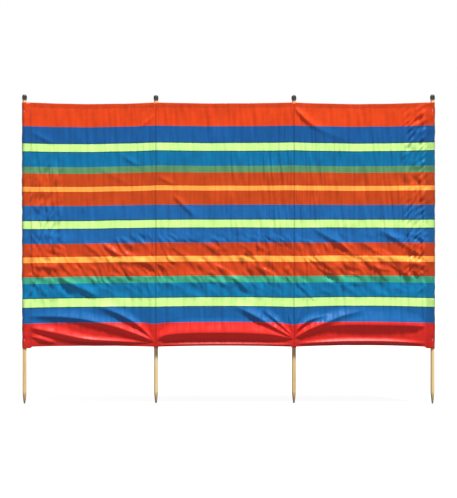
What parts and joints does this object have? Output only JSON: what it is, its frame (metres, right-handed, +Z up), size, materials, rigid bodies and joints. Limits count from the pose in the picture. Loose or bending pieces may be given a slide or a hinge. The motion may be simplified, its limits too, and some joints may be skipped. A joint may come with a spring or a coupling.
{
  "type": "beach windbreak",
  "caption": "Beach windbreak: striped cloth bays that fold at sewn seams, held upright by pointed wooden poles in cloth sleeves, each pole with a domed plastic cap.",
  "frame": {"origin": "centre of the blunt tip of the first pole, where it goes into the ground", "axes": "+X along the spread cloth from the first pole to the last, -Y out of its striped front, +Z up the poles"},
  "size_m": [2.0302, 0.0532, 1.52],
  "materials": {
    "pole_wood": "satin",
    "cap_plastic": "satin",
    "cloth": "satin"
  },
  "bodies": {
    "bay_1": {"pole_1": "pole_wood", "cap_1": "cap_plastic", "sleeve_1": "cloth", "panel_1": "cloth", "top_hem_1": "cloth", "bottom_hem_1": "cloth"},
    "post_2": {"pole_2": "pole_wood", "cap_2": "cap_plastic", "sleeve_2": "cloth"},
    "bay_2": {"panel_2": "cloth", "top_hem_2": "cloth", "bottom_hem_2": "cloth"},
    "post_3": {"pole_3": "pole_wood", "cap_3": "cap_plastic", "sleeve_3": "cloth"},
    "bay_3": {"panel_3": "cloth", "top_hem_3": "cloth", "bottom_hem_3": "cloth", "sleeve_4": "cloth", "pole_4": "pole_wood", "cap_4": "cap_plastic"}
  },
  "joints": [
    {"name": "seam_2_fold", "type": "hinge", "parent": "bay_1", "child": "bay_2", "pos_m": [0.645, 0, 0.88], "axis": [0, 0, 1], "range_deg": [-100, 100]},
    {"name": "post_2_turn", "type": "hinge", "parent": "bay_1", "child": "post_2", "pos_m": [0.645, 0, 0.88], "axis": [0, 0, 1], "range_deg": [-50, 50]},
    {"name": "seam_3_fold", "type": "hinge", "parent": "bay_2", "child": "bay_3", "pos_m": [1.325, 0, 0.88], "axis": [0, 0, 1], "range_deg": [-100, 100]},
    {"name": "post_3_turn", "type": "hinge", "parent": "bay_2", "child": "post_3", "pos_m": [1.325, 0, 0.88], "axis": [0, 0, 1], "range_deg": [-50, 50]}
  ],
  "couplings": [
    {"joint": "post_2_turn", "follows": "seam_2_fold", "ratio": 0.5},
    {"joint": "post_3_turn", "follows": "seam_3_fold", "ratio": 0.5}
  ]
}
